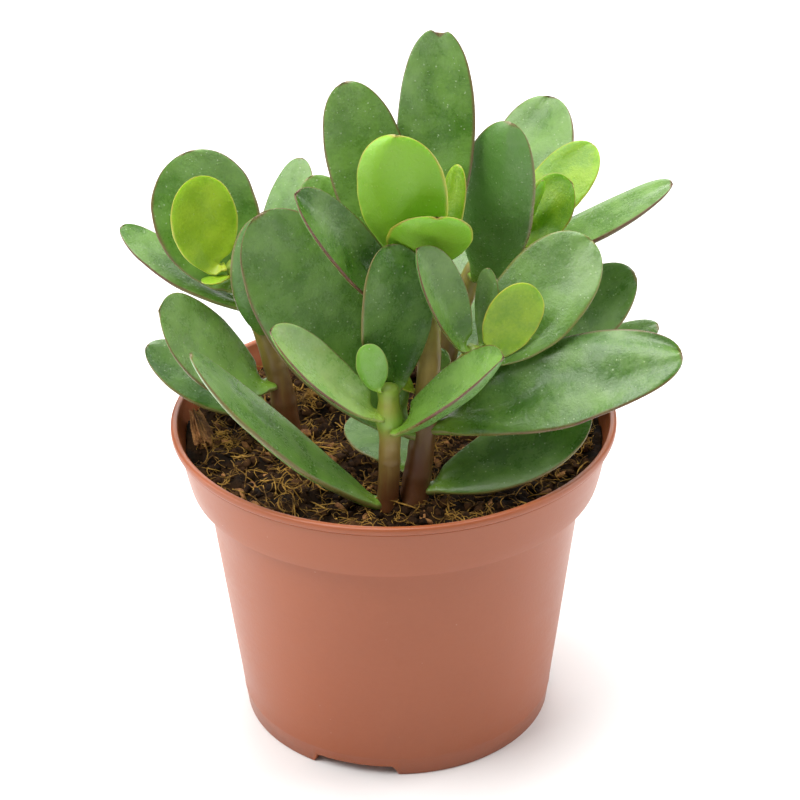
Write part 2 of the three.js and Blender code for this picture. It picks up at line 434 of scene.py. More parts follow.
@dataclass(frozen=True)
class Effects:
    """The shader groups that several finishes share."""

    mottle: bpy.types.NodeTree
    speckle: bpy.types.NodeTree

    @classmethod
    def made(cls) -> "Effects":
        """Make every shared group once."""
        return cls(mottle_group(), speckle_group())


def new_material(name: str) -> tuple[Material, Shader, bpy.types.Node]:
    """Start a material with a principled shader on its output.

    Args:
        name: The material's name.

    Returns:
        The material, its layout and the shader's node.
    """
    material = bpy.data.materials.new(name)
    material.use_nodes = True
    s = Shader(material.node_tree)
    shader = s.node("BsdfPrincipled")
    s.node("OutputMaterial", Surface=shader.outputs[0])
    return material, s, shader


# --------------------------------------------------------------------------- finishes


@dataclass(frozen=True)
class LeafFinish:
    """Skin of a leaf: green flesh, pale dots partly painted as glints, a pale film of painted
    sheen, a coloured margin and a soft gloss.
    """

    name: str
    deep: Colour
    light: Colour
    base: Colour
    margin: Colour
    blushed: Colour
    margin_amount: float
    blush_from: float
    underside: Colour
    # Pale colour of the leaf's own dots and of painted glints, also used for the painted sheen
    # film.
    pale_dots_and_sheen: Colour
    dot_and_glint_strength: float
    # Strength of the pale film of painted sheen that stands in for the gloss of the bright
    # surroundings.
    sheen_film: float
    roughness: float
    glow: float
    glow_reach: float

    def material(self, effects: Effects) -> Material:
        """Make the finish's material.

        Args:
            effects: The shared shader groups.

        Returns:
            The material. It reads the leaf's along, across, face, tone and blush; the tone holds
            painted light and shade besides the leaf's own lightness.
        """
        material, s, shader = new_material(self.name)
        along = s.attribute("along")
        across = s.math("ABSOLUTE", s.attribute("across"))
        mottle = s.group(effects.mottle, Coarse=130.0, Fine=1400.0)
        cloud = s.group(effects.mottle, Coarse=55.0, Fine=420.0)
        speck = s.group(effects.speckle, Cells=760.0, Size=0.19, Share=0.75)
        grained = s.math("MULTIPLY", mottle, 0.5)
        # Painted light and shade: the leaf's tone darkens or lightens its green to match how the
        # leaf is lit, besides its own lightness; the mottle adds random tone.
        shade = s.math("MULTIPLY_ADD", s.attribute("tone_and_shade"), 0.55, grained, hold=True)
        flesh = s.mix(shade, self.deep, self.light)
        flesh = s.mix(s.ramp(s.attribute("face"), 0.35, -0.35), flesh, self.underside)
        foot = s.math("MULTIPLY", s.ramp(along, 0.3, 0.0), 0.75)
        flesh = s.mix(foot, flesh, self.base)
        # Painted sheen: a pale patchy film, stronger towards the tip, stands in for the grey gloss
        # of the bright surroundings.
        painted_sheen = s.math("MULTIPLY", cloud, self.sheen_film)
        flesh = s.mix(s.math("MULTIPLY", s.ramp(along, 0.15, 1.0), painted_sheen), flesh, self.pale_dots_and_sheen)
        # Pale dots: partly the leaf's own dots, partly painted glints of light.
        flesh = s.mix(s.math("MULTIPLY", speck, self.dot_and_glint_strength), flesh, self.pale_dots_and_sheen)
        rim = s.ramp(across, s.math("MULTIPLY_ADD", cloud, 0.06, 0.895), 0.995)
        edge = s.math("MAXIMUM", rim, s.ramp(along, 0.984, 0.998))
        flush = s.ramp(along, self.blush_from, self.blush_from + 0.4)
        ripe = s.math("MULTIPLY", flush, s.attribute("blush"))
        patchy = s.math("MULTIPLY_ADD", cloud, 0.5, 0.7)
        ripe = s.math("MULTIPLY", ripe, patchy, hold=True)
        rim_colour = s.mix(ripe, self.margin, self.blushed)
        amount = s.math("MULTIPLY", edge, self.margin_amount, hold=True)
        gloss = s.math("MULTIPLY_ADD", mottle, 0.12, self.roughness - 0.06)
        place = s.place()
        grain = s.math("MULTIPLY", s.noise(place, 1500.0, 4.0, Roughness=0.65), 0.5)
        swell = s.math("MULTIPLY_ADD", s.noise(place, 260.0, 3.0), 1.3, grain)
        rise = s.math("MULTIPLY_ADD", speck, 0.3, swell)
        s.feed(
            shader,
            Base_Color=s.mix(amount, flesh, rim_colour),
            Roughness=s.math("MULTIPLY_ADD", speck, 0.12, gloss),
            Subsurface_Weight=self.glow,
            Subsurface_Radius=(0.6, 1.0, 0.12),
            Subsurface_Scale=self.glow_reach * MM,
            Specular_IOR_Level=0.42,
            Coat_Weight=0.1,
            Coat_Roughness=0.14,
            Normal=s.bump(rise, 0.7, 0.4),
        )
        return material


class LeafAge(Enum):
    """How old a leaf is, with the finish that it wears."""

    MATURE = LeafFinish(
        name="mature_leaf_skin",
        deep=(0.024, 0.096, 0.004),
        light=(0.150, 0.295, 0.044),
        base=(0.20, 0.36, 0.035),
        margin=(0.22, 0.22, 0.06),
        blushed=(0.120, 0.024, 0.020),
        margin_amount=0.9,
        blush_from=0.15,
        underside=(0.11, 0.25, 0.05),
        pale_dots_and_sheen=(0.36, 0.48, 0.26),
        dot_and_glint_strength=0.7,
        sheen_film=0.27,
        roughness=0.3,
        glow=0.12,
        glow_reach=1.6,
    )
    TENDER = LeafFinish(
        name="tender_leaf_skin",
        deep=(0.14, 0.32, 0.05),
        light=(0.42, 0.56, 0.20),
        base=(0.36, 0.52, 0.07),
        margin=(0.30, 0.36, 0.10),
        blushed=(0.13, 0.030, 0.026),
        margin_amount=0.95,
        blush_from=0.1,
        underside=(0.16, 0.36, 0.04),
        pale_dots_and_sheen=(0.50, 0.62, 0.38),
        dot_and_glint_strength=0.5,
        sheen_film=0.45,
        roughness=0.3,
        glow=0.2,
        glow_reach=2.0,
    )
    YOUNG = LeafFinish(
        name="young_leaf_skin",
        deep=(0.085, 0.240, 0.002),
        light=(0.35, 0.52, 0.022),
        base=(0.50, 0.56, 0.06),
        margin=(0.52, 0.47, 0.07),
        blushed=(0.20, 0.055, 0.022),
        margin_amount=0.8,
        blush_from=0.5,
        underside=(0.20, 0.42, 0.02),
        pale_dots_and_sheen=(0.50, 0.66, 0.18),
        dot_and_glint_strength=0.25,
        sheen_film=0.05,
        roughness=0.4,
        glow=0.3,
        glow_reach=2.5,
    )


@dataclass(frozen=True)
class StemFinish:
    """Skin of a stem: red-brown at the foot, tan and olive above, green at the shoot."""

    name: str = "stem_skin"
    foot: Colour = (0.120, 0.042, 0.012)
    middle: Colour = (0.30, 0.225, 0.050)
    top: Colour = (0.29, 0.34, 0.040)
    scar: Colour = (0.11, 0.060, 0.020)
    collar: Colour = (0.22, 0.36, 0.045)
    roughness: float = 0.4

    def material(self, effects: Effects) -> Material:
        """Make the finish's material.

        Args:
            effects: The shared shader groups.

        Returns:
            The material. It reads the stem's along, scar and collar.
        """
        material, s, shader = new_material(self.name)
        stretch = s.node("Mapping", Vector=s.place(), Scale=(420.0, 420.0, 45.0))
        streak = s.ramp(s.noise(stretch.outputs[0], 1.0, 4.0), 0.35, 0.7)
        wander = s.math("MULTIPLY_ADD", streak, 0.1, s.attribute("along"))
        low = s.mix(s.ramp(wander, 0.15, 0.72), self.foot, self.middle)
        skin = s.mix(s.ramp(wander, 0.62, 1.05), low, self.top)
        mottle = s.group(effects.mottle, Coarse=350.0, Fine=2400.0)
        skin = s.mix(s.math("MULTIPLY", mottle, 0.22), skin, self.scar)
        skin = s.mix(s.math("MULTIPLY", s.attribute("scar"), 0.3), skin, self.scar)
        s.feed(
            shader,
            Base_Color=s.mix(s.attribute("collar"), skin, self.collar),
            Roughness=s.math("MULTIPLY_ADD", streak, 0.15, self.roughness - 0.05),
            Subsurface_Weight=0.12,
            Subsurface_Radius=(1.0, 0.6, 0.2),
            Subsurface_Scale=1.5 * MM,
            Normal=s.bump(s.math("MULTIPLY_ADD", mottle, 0.4, streak), 0.3, 0.2),
        )
        return material


@dataclass(frozen=True)
class PotFinish:
    """Terracotta-coloured moulded plastic with a satin skin and faint flow marks."""

    name: str = "pot_plastic_skin"
    body: Colour = (0.295, 0.072, 0.021)
    worn: Colour = (0.350, 0.098, 0.035)
    dust: Colour = (0.50, 0.30, 0.21)
    roughness: float = 0.33

    def material(self, effects: Effects) -> Material:
        """Make the finish's material.

        Args:
            effects: The shared shader groups.

        Returns:
            The material.
        """
        material, s, shader = new_material(self.name)
        mottle = s.group(effects.mottle, Coarse=24.0, Fine=700.0)
        skin = s.mix(s.math("MULTIPLY", mottle, 0.35), self.body, self.worn)
        place = s.place()
        stretch = s.node("Mapping", Vector=place, Scale=(60.0, 60.0, 700.0))
        flow = s.noise(stretch.outputs[0], 1.0, 3.0)
        speck = s.group(effects.speckle, Cells=330.0, Size=0.07, Share=0.25)
        gloss = s.math("MULTIPLY_ADD", mottle, 0.1, self.roughness - 0.03)
        rise = s.math("MULTIPLY_ADD", flow, 0.5, s.noise(place, 1500.0, 2.0))
        s.feed(
            shader,
            Base_Color=s.mix(s.math("MULTIPLY", speck, 0.5), skin, self.dust),
            Roughness=s.math("MULTIPLY_ADD", flow, 0.06, gloss),
            Subsurface_Weight=0.08,
            Subsurface_Radius=(1.0, 0.35, 0.2),
            Subsurface_Scale=1.0 * MM,
            Normal=s.bump(rise, 0.12, 0.2),
        )
        return material


@dataclass(frozen=True)
class EarthFinish:
    """A rough earthy surface: peat, a crumb of it, a chip of bark or a coir fibre."""

    name: str
    dark: Colour
    light: Colour
    coarse: float
    fine: float
    roughness: float
    bump: float

    def material(self, effects: Effects) -> Material:
        """Make the finish's material.

        Args:
            effects: The shared shader groups.

        Returns:
            The material.
        """
        material, s, shader = new_material(self.name)
        mottle = s.group(effects.mottle, Coarse=self.coarse, Fine=self.fine)
        grit = s.group(effects.speckle, Cells=900.0, Size=0.3, Share=0.3)
        share = s.math("MULTIPLY_ADD", grit, 0.35, s.math("MULTIPLY", mottle, 0.8), hold=True)
        s.feed(
            shader,
            Base_Color=s.mix(share, self.dark, self.light),
            Roughness=s.math("MULTIPLY_ADD", mottle, 0.12, self.roughness - 0.06, hold=True),
            Specular_IOR_Level=0.12,
            Normal=s.bump(share, self.bump, 0.8),
        )
        return material


class Earth(Enum):
    """The loose stuffs of the soil, with the finish of each."""

    PEAT = EarthFinish("peat", (0.004, 0.002, 0.001), (0.045, 0.021, 0.008), 120, 700, 0.9, 0.9)
    CRUMB = EarthFinish(
        "peat_crumb", (0.006, 0.003, 0.002), (0.10, 0.045, 0.016), 70, 900, 0.9, 0.7
    )
    BARK = EarthFinish("bark_chip", (0.10, 0.038, 0.014), (0.46, 0.22, 0.08), 180, 1300, 0.75, 0.6)
    FIBRE = EarthFinish("coir_fibre", (0.045, 0.018, 0.004), (0.60, 0.34, 0.07), 190, 900, 0.6, 0.2)


@dataclass(frozen=True)
class FloorFinish:
    """A plain pale studio floor."""

    name: str = "studio_floor"
    pale: Colour = (0.86, 0.86, 0.86)

    def material(self, effects: Effects) -> Material:
        """Make the finish's material.

        Args:
            effects: The shared shader groups.

        Returns:
            The material.
        """
        material, s, shader = new_material(self.name)
        mottle = s.group(effects.mottle, Coarse=1.5, Fine=40.0)
        tint = tuple(part * 1.02 for part in self.pale)
        s.feed(shader, Base_Color=s.mix(mottle, self.pale, tint), Roughness=0.7)
        return material


# --------------------------------------------------------------------------- stems

GAP = 0.3


@dataclass
class Stem:
    """A tapering shoot axis that follows a smooth curve through its points."""

    points: Sequence[Triple]
    foot_radius: float
    top_radius: float
    buried: float = 14.0
    node_shares: Sequence[float] = ()
    collar_share: float = -1.0
    collar_swell: float = 0.0
    samples: list[Vector] = field(default_factory=list)
    reach: list[float] = field(default_factory=list)

    STEPS: ClassVar[int] = 60
    RING_SPREAD: ClassVar[float] = 0.022
    COLLAR_SPREAD: ClassVar[float] = 0.09
    TIP_GREEN_FROM: ClassVar[float] = 0.86
    TIP_GREEN: ClassVar[float] = 0.7

    def __post_init__(self) -> None:
        """Sample the curve and its length."""
        path = [Vector(point) for point in self.points]
        path = [2 * path[0] - path[1], *path, 2 * path[-1] - path[-2]]
        for i in range(len(path) - 3):
            for k in range(self.STEPS + (i == len(path) - 4)):
                self.samples.append(self.span(path[i : i + 4], k / self.STEPS))
        self.reach = [0.0]
        for before, after in zip(self.samples, self.samples[1:]):
            self.reach.append(self.reach[-1] + (after - before).length)

    @staticmethod
    def span(four: Sequence[Vector], t: float) -> Vector:
        """Return a point between the middle two of four points, centripetally smoothed.

        Args:
            four: Four points in a row.
            t: The share of the way from the second to the third.

        Returns:
            The point.
        """
        p0, p1, p2, p3 = four
        d0, d1, d2 = (math.sqrt((b - a).length) for a, b in ((p0, p1), (p1, p2), (p2, p3)))
        m1 = ((p1 - p0) / d0 - (p2 - p0) / (d0 + d1) + (p2 - p1) / d1) * d1
        m2 = ((p2 - p1) / d1 - (p3 - p1) / (d1 + d2) + (p3 - p2) / d2) * d1
        cubic = 2 * p1 - 2 * p2 + m1 + m2
        square = -3 * p1 + 3 * p2 - 2 * m1 - m2
        return cubic * t**3 + square * t**2 + m1 * t + p1

    def centre(self, share: float) -> Vector:
        """Return the centre of the stem at a share of its length."""
        target = clamp(share) * self.reach[-1]
        for i in range(1, len(self.reach)):
            if self.reach[i] >= target:
                step = (target - self.reach[i - 1]) / (self.reach[i] - self.reach[i - 1])
                return self.samples[i - 1].lerp(self.samples[i], step)
        return self.samples[-1].copy()

    def direction(self, share: float) -> Vector:
        """Return the way that the stem grows at a share of its length."""
        low, high = clamp(share - 0.01), clamp(share + 0.01)
        return (self.centre(high) - self.centre(low)).normalized()

    def radius(self, share: float) -> float:
        """Return the plain tapering radius at a share of the length."""
        return lerp(self.foot_radius, self.top_radius, clamp(share))

    def swell(self, share: float) -> float:
        """Return how strongly a share of the length lies in the ring where leaves sit."""
        offsets = ((share - node) / self.RING_SPREAD for node in self.node_shares)
        return sum(math.exp(-(offset**2)) for offset in offsets)

    def tube(self, name: str, sides: int = 40, rings: int = 110) -> Piece:
        """Make the stem's skin with its leaf rings and small unevenness.

        Args:
            name: The object's name.
            sides: Points around.
            rings: Points along.

        Returns:
            The object, with its along, scar and collar values.
        """
        skin: list[list[Vector]] = []
        along_values: list[float] = []
        scars: list[float] = []
        collars: list[float] = []
        low = -self.buried / self.reach[-1]
        for ring in range(rings):
            share = lerp(low, 1.0, ring / (rings - 1))
            way = self.direction(share)
            middle = self.centre(share) + way * min(0.0, share) * self.reach[-1]
            across = Vector((0, 1, 0)).cross(way).normalized()
            third = way.cross(across)
            swell = min(1.0, self.swell(share))
            radius = self.radius(share) * (0.97 + 0.05 * swell)
            radius *= 1.0 + 0.1 * smoothstep(0.1 - share, 0.0, 0.25)
            clasp = math.exp(-(((share - self.collar_share) / self.COLLAR_SPREAD) ** 2))
            clasp *= self.collar_share > 0
            radius += self.collar_swell * clasp
            row = []
            for side in range(sides):
                angle = side * math.tau / sides
                out = across * math.cos(angle) + third * math.sin(angle)
                dent = noise.noise((middle + out * radius) * 0.35) * 0.16
                row.append(middle + out * (radius + dent))
            skin.append(row)
            along_values += [clamp(share)] * sides
            scars += [swell] * sides
            green = smoothstep(share, self.TIP_GREEN_FROM, 1.0) * self.TIP_GREEN
            collars += [max(clasp, green)] * sides
        top = self.centre(1.0) + self.direction(1.0) * self.top_radius * 0.5
        foot = self.centre(0.0) - self.direction(0.0) * (self.buried + 0.2)
        mesh = skin_mesh(name, skin, foot, top)
        add_values(mesh, "along", [*along_values, 0.0, 1.0])
        add_values(mesh, "scar", [*scars, 0.0, 0.0])
        add_values(mesh, "collar", [*collars, 0.0, self.TIP_GREEN])
        return new_object(name, mesh)


@dataclass
class StemPiece:
    """One grown stem: its main axis and any branch that leaves it."""

    name: str
    axis: Stem
    branch: Stem | None = None

    def build(self) -> Piece:
        """Make the stem, with a branch fused into its skin.

        Returns:
            The stem's object.
        """
        piece = self.axis.tube(f"{self.name}_skin")
        if self.branch is None:
            return piece
        arm = self.branch.tube(f"{self.name}_arm")
        fused = joined(f"{self.name}_fused", piece, arm, "UNION")
        fused.name = f"{self.name}_skin"
        return fused

    def dress(self, piece: Piece, material: Material) -> Piece:
        """Give the stem its skin and tie it to the frame."""
        dress(piece, material)
        return settle(piece, "stem", self.name)


# --------------------------------------------------------------------------- leaves


@dataclass(frozen=True)
class Leaf:
    """A thick spoon-shaped leaf on a stem.

    It grows at a share of the stem's length, towards an azimuth and upwards by a rise in
    degrees. Roll turns its face about its own length, arch bends its middle towards its
    upper face, and cup lifts its margins. Clasp is the share of its width at the stem.
    """

    name: str
    stem: Stem
    at: float
    azimuth: float
    rise: float
    length: float
    width: float
    roll: float = 0.0
    arch: float = -0.08
    cup: float = 0.12
    age: LeafAge = LeafAge.MATURE
    # Tone: the leaf's own lightness together with painted light and shade, low for leaves in shade
    # and high for leaves that catch the light.
    tone_and_shade: float = 0.4
    blush: float = 0.55
    notch: float = 0.0
    clasp: float = 0.24
    wave: float = 0.032

    WIDEST_AT: ClassVar[float] = 0.62
    SIDES: ClassVar[int] = 32
    RINGS: ClassVar[int] = 44
    BEND_AT: ClassVar[float] = 0.62
    NECK: ClassVar[float] = 0.14
    SEAT: ClassVar[float] = -0.035
    TIP: ClassVar[float] = 0.9985

    def half_width(self, s: float) -> float:
        """Return half of the width at a share of the length."""
        if s < self.WIDEST_AT:
            swell = math.sin(s / self.WIDEST_AT * math.pi / 2) ** 1.6
            share = lerp(self.clasp, 1.0, swell)
        else:
            past = (s - self.WIDEST_AT) / (1 - self.WIDEST_AT)
            share = math.sqrt(max(0.0, 1 - past**2.3))
        return self.width / 2 * share

    def thickness(self) -> float:
        """Return the leaf's thickness at its thickest."""
        return clamp(self.length * 0.085, 1.6, 4.4)

    def axes(self) -> tuple[Vector, Vector, Vector]:
        """Return the leaf's lengthwise, upward and sideways directions."""
        a, r = math.radians(self.azimuth), math.radians(self.rise)
        chord = Vector((math.cos(r) * math.cos(a), math.cos(r) * math.sin(a), math.sin(r)))
        level = Vector((-math.sin(a), math.cos(a), 0))
        turn = Quaternion(chord, math.radians(self.roll))
        return chord, turn @ chord.cross(level), turn @ level

    def midline(self) -> tuple[list[Vector], Vector, Vector]:
        """Return the four control points of the midline, the way out and the upward way."""
        chord, upper, _ = self.axes()
        a = math.radians(self.azimuth)
        along = self.stem.direction(self.at)
        outward = Vector((math.cos(a), math.sin(a), 0))
        outward = (outward - along * outward.dot(along)).normalized()
        base = self.stem.centre(self.at) + outward * (self.stem.radius(self.at) + GAP)
        neck = (outward + along * 0.55).normalized()
        middle = base + chord * self.length * self.BEND_AT + upper * self.arch * self.length
        bent = base + neck * self.length * self.NECK
        control = [base, bent, middle, base + chord * self.length]
        return control, outward, upper

    def build(self) -> Piece:
        """Make the leaf's skin.

        Returns:
            The object, with along, across, face, tone and blush values for its finish; the tone
            holds painted light and shade besides the leaf's own lightness.
        """
        control, outward, _ = self.midline()
        _, _, across = self.axes()
        a = math.radians(self.azimuth)
        level = Vector((-math.sin(a), math.cos(a), 0))
        seed = Vector((len(self.name) * 3.1, self.azimuth * 0.37, self.length))
        rings: list[list[Vector]] = []
        values: dict[str, list[float]] = {"along": [], "across": [], "face": []}
        stations = [1 - (1 - k / (self.RINGS - 1)) ** 1.35 for k in range(self.RINGS)]
        stations = [lerp(self.SEAT, self.TIP, s) for s in stations]
        for s in stations:
            held = clamp(s)
            centre, way = self.on_midline(control, held)
            centre += outward * min(0.0, s) * self.length * 0.9
            turn = smoothstep(held, 0.0, 0.2)
            forward = outward.lerp(way, turn).normalized()
            side = across.lerp(level, 1 - turn)
            side = (side - forward * side.dot(forward)).normalized()
            up = forward.cross(side)
            half = self.half_width(held)
            depth = self.thickness() / 2 * (0.8 + 0.2 * math.sin(math.pi * held))
            depth *= math.sqrt(1 - held**5)
            row = []
            for k in range(self.SIDES):
                angle = k * math.tau / self.SIDES
                place = math.cos(angle)
                height = signed_power(math.sin(angle), 0.72)
                height *= 1.12 if height > 0 else 1.22
                height *= 1 - 0.18 * smoothstep(abs(place), 0.55, 0.92)
                lift = self.cup * half * place**2 * turn
                wave = noise.noise(seed + Vector((s * 3.4, place * 1.3, 0)))
                wave = wave * self.wave * self.width
                ripple = noise.noise(seed + Vector((s * 9, math.copysign(7, place), 3)))
                edge = 1 + 0.02 * ripple * turn
                fold = -0.35 * math.exp(-((place / 0.1) ** 2)) * turn * (1 - held) * (height > 0)
                point = centre + side * place * half * edge
                point += up * (height * depth * 0.8 + lift + wave * turn + fold)
                dip = self.notch * self.length * math.exp(-((place * half / 1.5) ** 2))
                point -= forward * dip * smoothstep(held, 0.9, 1.0)
                row.append(point)
                values["along"].append(held)
                values["across"].append(place)
                values["face"].append(clamp(height, -1, 1))
            rings.append(row)
        start = rings[0][0].lerp(rings[0][self.SIDES // 2], 0.5)
        end = rings[-1][0].lerp(rings[-1][self.SIDES // 2], 0.5)
        mesh = outside_out(skin_mesh(self.name, rings, start, end))
        ends = {"along": [0.0, 1.0], "across": [0.0, 1.0], "face": [0.0, 0.0]}
        for key, listed in values.items():
            add_values(mesh, key, listed + ends[key])
        count = len(mesh.vertices)
        add_values(mesh, "tone_and_shade", [self.tone_and_shade] * count)
        add_values(mesh, "blush", [self.blush] * count)
        return new_object(f"{self.name}_skin", mesh)

    @staticmethod
    def on_midline(control: Sequence[Vector], s: float) -> tuple[Vector, Vector]:
        """Return a point of the midline and the way that it runs there."""
        p0, p1, p2, p3 = control
        r = 1 - s
        point = p0 * r**3 + p1 * 3 * r * r * s + p2 * 3 * r * s * s + p3 * s**3
        way = (p1 - p0) * 3 * r * r + (p2 - p1) * 6 * r * s + (p3 - p2) * 3 * s * s
        return point, way.normalized()

    def dress(self, piece: Piece, material: Material) -> Piece:
        """Give the leaf its skin and tie it to the frame."""
        dress(piece, material)
        slot = "leaf" if self.age is LeafAge.MATURE else "young_leaf"
        return settle(piece, slot, self.name)


@dataclass
class Cutting:
    """A rooted cutting: one stem piece with the leaves of its axis and branch."""

    stem: StemPiece
    leaves: Sequence[Leaf]

    def build(
        self, leaf_skins: dict[LeafAge, Material], bark: Material
    ) -> None:
        """Make and dress the stem and every leaf.

        Args:
            leaf_skins: The leaf material for each age.
            bark: The stems' material.
        """
        self.stem.dress(self.stem.build(), bark)
        for leaf in self.leaves:
            leaf.dress(leaf.build(), leaf_skins[leaf.age])


YOUNG = LeafAge.YOUNG
TENDER = LeafAge.TENDER


# Each leaf's tone is partly painted light and shade: low for leaves that stand in shade, high for
# leaves that catch light or sheen.
def front_cutting() -> Cutting:
    """Return the short cutting nearest the front rim."""
    stem = Stem(
        [(-2, -38.6, 82), (-1, -38.4, 102), (-1.3, -38, 117)],
        2.9,
        2.7,
        node_shares=(0.4, 0.95),
        collar_share=0.74,
        collar_swell=0.8,
    )
    leaves = [
        Leaf("leaf_front_upright", stem, 0.91, 83, 86, 40, 20.6, 38, arch=0.13, tone_and_shade=0.12),
        Leaf(
            "leaf_front_left", stem, 0.78, 192, 46, 38, 15, -28, cup=0.42,
            age=TENDER, blush=1.1, clasp=0.42,
        ),
        Leaf(
            "leaf_front_right", stem, 0.68, -25, 43, 38, 18, 20, cup=0.45,
            tone_and_shade=1.0, blush=1.3, clasp=0.45,
        ),
        Leaf("leaf_front_bud", stem, 1, 220, 78, 14.5, 8, 44, age=TENDER, tone_and_shade=0.3, blush=0),
        Leaf("leaf_front_foot", stem, 0.05, 188, 46, 65, 18.5, -8, tone_and_shade=0.5),
    ]
    return Cutting(StemPiece("stem_front", stem), leaves)


def main_cutting() -> Cutting:
    """Return the tallest cutting, with its side branch."""
    stem = Stem(
        [(4.7, -36, 82), (8.6, -30, 109), (9.2, -22, 131), (7, -17, 142)],
        3.8,
        2.5,
        node_shares=(0.12, 0.34, 0.46, 0.62, 0.76, 0.9),
    )
    side = Stem(
        [(9, -30.3, 104), (14.4, -31.4, 114), (21, -32, 124)],
        2.7,
        2.5,
        buried=0.0,
        node_shares=(0.94,),
    )
    leaves = [
        Leaf(
            "leaf_main_low_right", stem, 0.33, -4, 20, 65, 24, 38, arch=0.08,
            tone_and_shade=0.2, blush=1, wave=0.11,
        ),
        Leaf(
            "leaf_main_low_left", stem, 0.3, 170, 57, 69, 30, -60, arch=-0.1,
            tone_and_shade=0.5, blush=0.8,
        ),
        Leaf("leaf_main_foot_right", stem, 0.07, 1, 27, 46, 19.8, 30, arch=-0.11, tone_and_shade=0.25),
        Leaf("leaf_main_foot_left", stem, 0.12, 120, 10, 26, 18, tone_and_shade=0.3),
        Leaf("leaf_main_round", stem, 0.46, 74, 45, 12, 8),
        Leaf("leaf_main_pale", stem, 0.47, 179, 48, 8, 6.5, -15, age=YOUNG),
        Leaf(
            "leaf_main_striped", stem, 0.76, 203, 52, 52, 16, -50, arch=-0.06, cup=0.45,
            tone_and_shade=0.1, blush=1.3,
        ),
        Leaf(
            "leaf_main_crown", stem, 0.98, 72, 76, 60, 21.3, -6,
            tone_and_shade=0.45, blush=0.8, notch=0.03,
        ),
        Leaf("leaf_main_crown_left", stem, 0.96, 141, 65, 51, 20.7, -40, tone_and_shade=0.75, blush=0.8),
        Leaf("leaf_main_bright", stem, 1.00, 243, 78, 38, 23.7, 9, age=YOUNG, tone_and_shade=0.12),
        Leaf(
            "leaf_main_bright_low", stem, 0.95, -79, 53, 28, 21.3, -7, arch=-0.02,
            age=YOUNG, tone_and_shade=0.22, blush=0.9,
        ),
        Leaf("leaf_main_bright_back", stem, 0.97, 5, 75, 28, 8.9, 38, age=YOUNG, tone_and_shade=0.6),
        Leaf("leaf_main_hidden_left", stem, 0.82, 92, 28, 30, 12.8, -11, tone_and_shade=0.6),
        Leaf("leaf_main_pale_left", stem, 0.65, 139, 45, 52, 18.5, -28, tone_and_shade=0.8),
        Leaf(
            "leaf_side_folded", side, 0.95, 202, 67, 33.5, 13.5, -60, arch=-0.05, cup=0.6,
            tone_and_shade=0.5, blush=1,
        ),
        Leaf(
            "leaf_side_glossy", side, 0.87, 26, 39, 42, 23.4, 37, arch=-0.02,
            tone_and_shade=0.5, blush=0.2,
        ),
        Leaf(
            "leaf_side_bright", side, 1, 5, 58, 22, 14, 88, arch=-0.10,
            age=YOUNG, tone_and_shade=0.6, blush=0.2,
        ),
        Leaf("leaf_side_small", side, 1.00, 57, 80, 21, 6.8, 4, tone_and_shade=0.7),
    ]
    return Cutting(StemPiece("stem_main", stem, side), leaves)


def back_cutting() -> Cutting:
    """Return the cutting that leans to the right at the back."""
    stem = Stem(
        [(8.6, 8, 82), (13, 9, 97), (21.5, 13, 123), (31, 14, 137)],
        3.8,
        2.4,
        node_shares=(0.1, 0.31, 0.45, 0.62, 0.75, 0.87),
    )
    leaves = [
        Leaf("leaf_back_front", stem, 0.74, -69, 68, 56, 21, -47, arch=-0.14, tone_and_shade=0.95),
        Leaf(
            "leaf_back_bright_low", stem, 0.97, -24, 48, 25, 15.9, 61,
            age=YOUNG, tone_and_shade=0.15, blush=1,
        ),
        Leaf("leaf_back_bright", stem, 1, 29, 37, 31, 15.8, 29, age=YOUNG, tone_and_shade=0.3, blush=0.5),
        Leaf("leaf_back_bud", stem, 1, -48, 60, 21, 5, age=YOUNG, blush=1),
        Leaf("leaf_back_far", stem, 0.88, 60, 44, 45, 24, tone_and_shade=0.6, blush=0.9),
        Leaf("leaf_back_long", stem, 0.85, -10, 28, 52, 17, 10, tone_and_shade=0.6, blush=1),
        Leaf("leaf_back_under", stem, 0.83, 42, -4, 27, 11.5, -19),
        Leaf("leaf_back_right", stem, 0.23, -3, 33, 58, 27, 30, arch=-0.12, tone_and_shade=0.2),
        Leaf("leaf_back_foot_right", stem, 0.05, -2, 25, 64, 20, 12, tone_and_shade=0.55),
        Leaf("leaf_back_low_left", stem, 0.32, 165, 30, 38, 22, 15),
        Leaf("leaf_back_low_far", stem, 0.45, 95, 28, 42, 22),
        Leaf("leaf_back_mid_left", stem, 0.62, 145, 45, 34, 19),
        Leaf("leaf_back_foot_far", stem, 0.12, 70, 14, 42, 23),
    ]
    return Cutting(StemPiece("stem_back", stem), leaves)


def left_cutting() -> Cutting:
    """Return the cutting that leans to the left."""
    stem = Stem(
        [(-28.6, 0.6, 82), (-30, 1, 96), (-36, 3, 118), (-42, 4, 132)],
        3.8,
        2.2,
        node_shares=(0.2, 0.4, 0.66, 0.88),
    )
    leaves = [
        Leaf("leaf_left_round", stem, 0.86, 140, 64, 38, 28.5, -30, tone_and_shade=0.45, blush=0.9),
        Leaf("leaf_left_bright", stem, 1, 190, 76, 27, 18, -78, arch=-0.02, age=YOUNG, tone_and_shade=1.1),
        Leaf("leaf_left_bud", stem, 0.95, 215, 5, 8, 5, age=YOUNG, tone_and_shade=0.5, blush=0),
        Leaf("leaf_left_long", stem, 0.75, 158, 27, 39.5, 13.7, -6, tone_and_shade=0.4, blush=1),
        Leaf("leaf_left_upright", stem, 0.62, 285, 80, 37, 18, tone_and_shade=0.7),
        Leaf("leaf_left_low", stem, 0.32, 210, 45, 42.5, 25, -42, tone_and_shade=0.95),
        Leaf("leaf_left_foot", stem, 0.1, 167, 28, 39, 20, -10, tone_and_shade=0.1),
        Leaf("leaf_left_back", stem, 0.7, 68, 48, 43, 15, -10, arch=-0.07),
    ]
    return Cutting(StemPiece("stem_left", stem), leaves)


# --------------------------------------------------------------------------- pot


